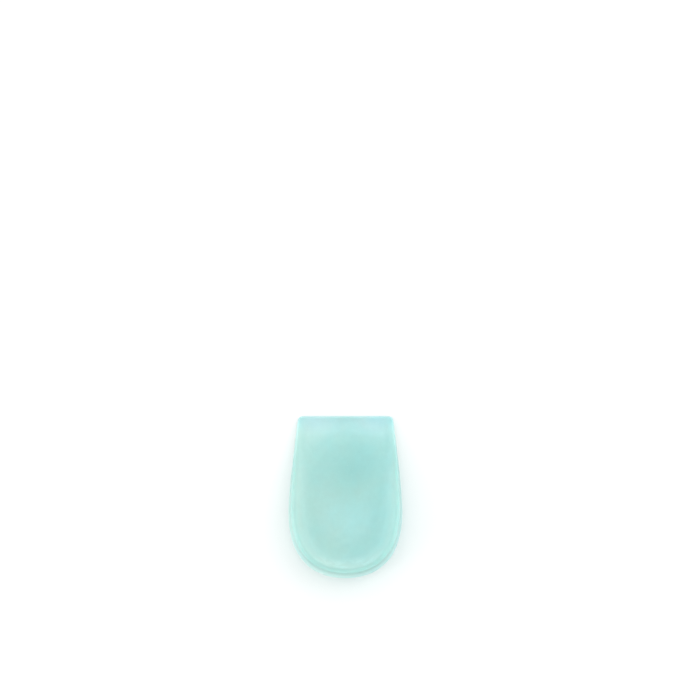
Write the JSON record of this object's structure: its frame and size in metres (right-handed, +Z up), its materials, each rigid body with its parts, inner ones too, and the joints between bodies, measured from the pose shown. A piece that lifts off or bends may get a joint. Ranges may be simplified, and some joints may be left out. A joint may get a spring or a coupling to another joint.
{
  "type": "heel cup",
  "caption": "Soft moulded gel heel cup: a rounded wall round the heel sinks along both sides to a thin, straight front edge.",
  "frame": {"origin": "on the flat underside, at the middle of the cup's length and width", "axes": "+Y along the foot towards the toes and the thin front edge, +X to the right seen from above, +Z up"},
  "size_m": [0.062, 0.09, 0.021],
  "materials": {
    "gel": "satin translucent silicone gel, pale mint"
  },
  "bodies": {
    "root": {"heel_cup": "gel"}
  },
  "joints": []
}
